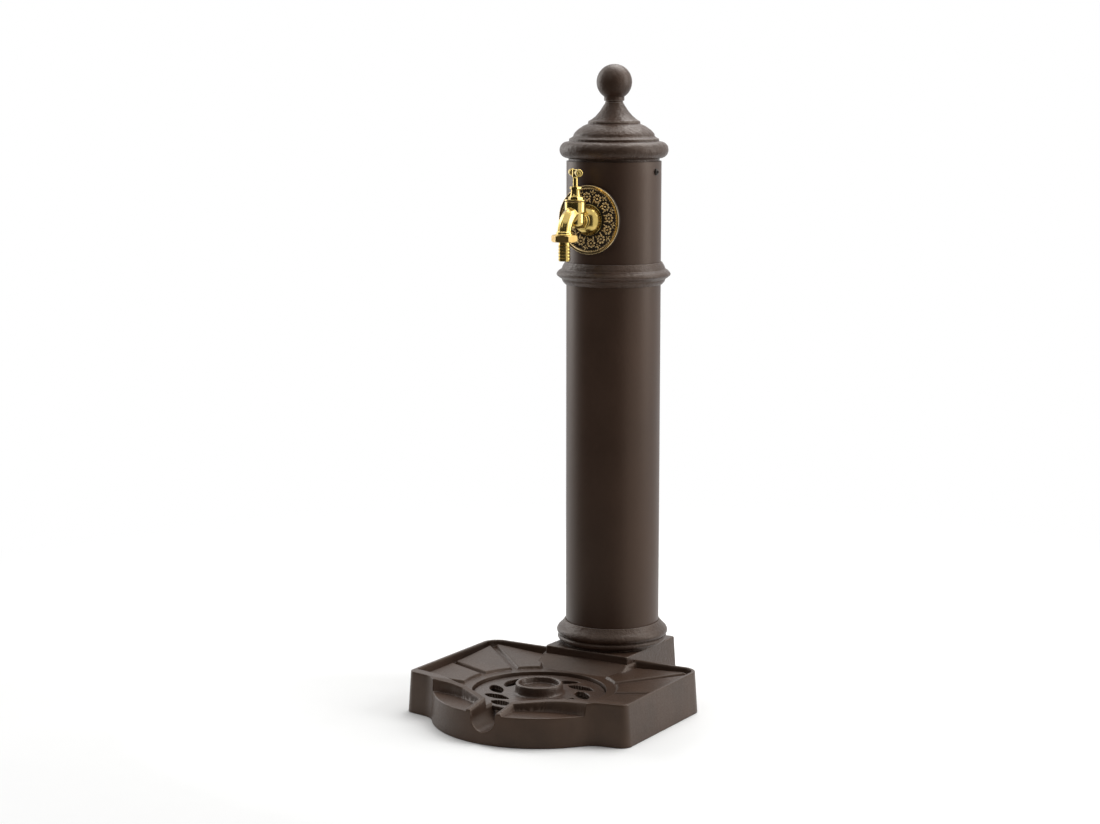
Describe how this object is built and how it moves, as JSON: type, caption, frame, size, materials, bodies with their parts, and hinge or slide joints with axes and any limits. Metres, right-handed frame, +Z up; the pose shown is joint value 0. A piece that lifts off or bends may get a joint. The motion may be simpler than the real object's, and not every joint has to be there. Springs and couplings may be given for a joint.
{
  "type": "garden fountain",
  "caption": "Free-standing garden fountain: round column with a domed cap and ball, brass bib tap on a flowered round plate, and a cast drip tray with a lift-out drain grate.",
  "frame": {"origin": "the column's axis where the plinth meets the floor, at the centre of the four anchor holes", "axes": "+Z up along the column, the tap and the tray look along -Y, +X to the right of someone who stands behind the column and looks over the tap"},
  "size_m": [0.368, 0.4635, 0.9305],
  "materials": {
    "cast_brown": "dark brown powder coat on sand-cast iron",
    "tube_brown": "dark brown satin powder coat",
    "black_steel": "black oxide",
    "zinc_steel": "zinc plated",
    "antique_brass": "cast, dark patina in the recesses",
    "polished_brass": "polished",
    "plain_brass": "as machined",
    "copper": "drawn copper pipe",
    "seal_fibre": "red fibre",
    "seal_rubber": "black rubber"
  },
  "bodies": {
    "stand": {"tray": "cast_brown", "plinth": "cast_brown", "base_collar": "cast_brown", "mid_collar": "cast_brown", "cap": "cast_brown", "finial": "cast_brown", "column_tube": "tube_brown", "cap_screws": "black_steel", "column_screws": "black_steel", "collar_screws": "black_steel", "tray_bolts": "zinc_steel", "tray_nuts": "zinc_steel", "finial_stud": "zinc_steel", "finial_washer": "zinc_steel", "finial_nut": "zinc_steel", "tap_saddle": "zinc_steel", "rosette": "antique_brass", "dome_cover": "polished_brass", "tap_body": "polished_brass", "tap_bonnet": "polished_brass", "gland_nut": "polished_brass", "tap_locknut": "plain_brass", "tap_elbow": "plain_brass", "foot_elbow": "plain_brass", "supply_pipe": "plain_brass", "supply_locknut": "plain_brass", "riser_nuts": "plain_brass", "riser_pipe": "copper", "bonnet_gasket": "seal_fibre", "gland_packing": "seal_fibre"},
    "valve": {"valve_jumper": "plain_brass", "valve_washer": "seal_rubber"},
    "handle": {"spindle": "polished_brass", "handle_bar": "polished_brass", "handle_ends": "polished_brass"},
    "tail": {"hose_tail": "polished_brass", "tail_washer": "seal_rubber"},
    "union": {"union_nut": "polished_brass"},
    "grate": {"drain_grate": "cast_brown"}
  },
  "joints": [
    {"name": "valve_lift", "type": "slide", "parent": "stand", "child": "valve", "axis": [0, 0, 1], "range_m": [0, 0.00501]},
    {"name": "handle_turn", "type": "hinge", "parent": "valve", "child": "handle", "pos_m": [0, -0.112, 0.7766], "axis": [0, 0, 1], "range_deg": [0, 720]},
    {"name": "tail_drop", "type": "slide", "parent": "stand", "child": "tail", "axis": [0, 0, -1], "range_m": [0, 0.00364]},
    {"name": "nut_turn", "type": "hinge", "parent": "tail", "child": "union", "pos_m": [0, -0.143, 0.6845], "axis": [0, 0, -1], "range_deg": [0, 720]},
    {"name": "grate_lift", "type": "slide", "parent": "stand", "child": "grate", "axis": [0, 0, 1], "range_m": [0, 0.06]}
  ],
  "couplings": [
    {"joint": "valve_lift", "follows": "handle_turn", "m_per_rad": 0.00039789},
    {"joint": "tail_drop", "follows": "nut_turn", "m_per_rad": 0.00028871}
  ]
}
